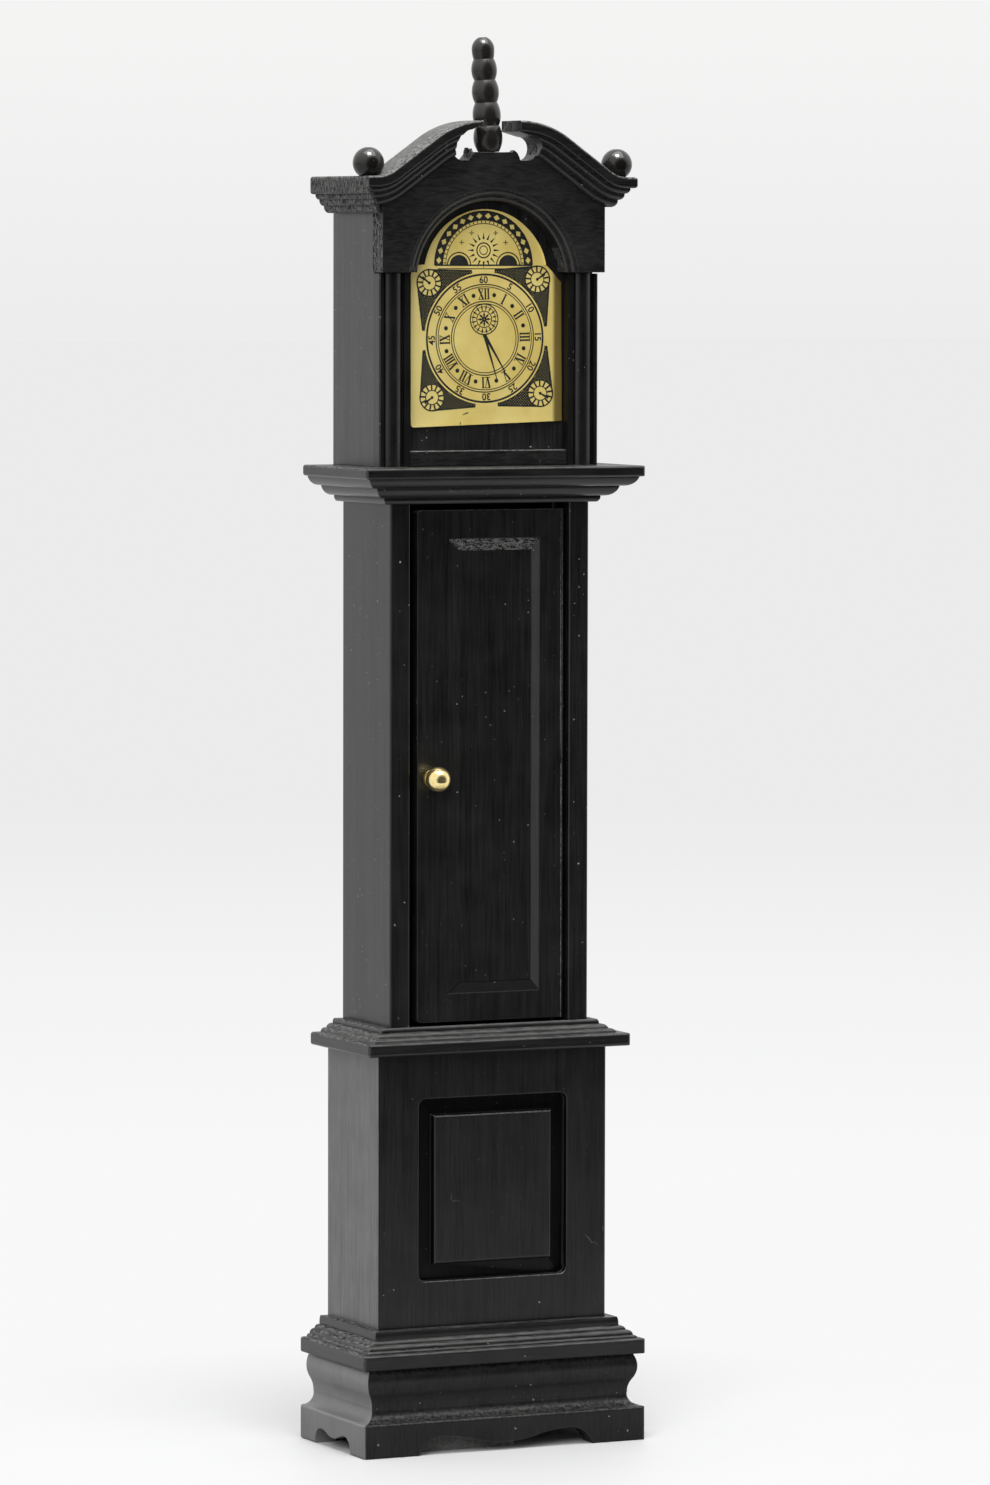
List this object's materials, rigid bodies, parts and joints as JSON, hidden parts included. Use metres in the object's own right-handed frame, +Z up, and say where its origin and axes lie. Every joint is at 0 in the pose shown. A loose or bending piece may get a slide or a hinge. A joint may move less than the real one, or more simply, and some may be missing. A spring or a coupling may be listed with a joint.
{
  "type": "miniature longcase clock",
  "caption": "Miniature longcase clock in black wood: swan-neck hood with bead finials, arched printed dial, hinged trunk door with a brass knob, and a moulded base on bracket feet.",
  "frame": {"origin": "on the floor, in the middle of the plinth's outline", "axes": "+Z up; -Y is the front with the dial and door; +Y is the flat back; +X is the viewer's right"},
  "size_m": [0.0398, 0.02, 0.1802],
  "materials": {
    "black_paint": "satin black paint over open grain",
    "bare_wood": "rough sawn, greyed",
    "black_gloss": "gloss black lacquer on turned beads",
    "gold_foil": "gold foil with black print",
    "brass": "polished",
    "pin_steel": "blackened wire"
  },
  "bodies": {
    "case": {"arch_board": "black_paint", "ball_finial_left": "black_gloss", "ball_finial_right": "black_gloss", "base_back": "black_paint", "base_front": "black_paint", "base_moulding_front": "black_paint", "base_moulding_left": "black_paint", "base_moulding_right": "black_paint", "base_side_left": "black_paint", "base_side_right": "black_paint", "base_top": "bare_wood", "centre_finial": "black_gloss", "cornice_left": "black_paint", "cornice_right": "black_paint", "dial_board": "black_paint", "dial_foil": "gold_foil", "hinge_pin_bottom": "pin_steel", "hinge_pin_top": "pin_steel", "hood_back": "black_paint", "hood_side_left": "black_paint", "hood_side_right": "black_paint", "hood_top": "black_paint", "lower_waist_moulding_front": "black_paint", "lower_waist_moulding_left": "black_paint", "lower_waist_moulding_right": "black_paint", "plinth_back": "black_paint", "plinth_block": "bare_wood", "plinth_floor": "bare_wood", "plinth_front": "black_paint", "plinth_left": "black_paint", "plinth_right": "black_paint", "post_left": "black_paint", "post_right": "black_paint", "sill_rail": "black_paint", "swan_neck_left": "black_paint", "swan_neck_right": "black_paint", "trunk_back": "black_paint", "trunk_floor": "black_paint", "trunk_side_left": "black_paint", "trunk_side_right": "black_paint", "trunk_top": "black_paint", "upper_waist_moulding_front": "black_paint", "upper_waist_moulding_left": "black_paint", "upper_waist_moulding_right": "black_paint"},
    "door": {"door": "black_paint", "door_knob": "brass"}
  },
  "joints": [
    {"name": "door_hinge", "type": "hinge", "parent": "case", "child": "door", "pos_m": [0.0097, -0.0032, 0], "axis": [0, 0, 1], "range_deg": [0, 95]}
  ]
}
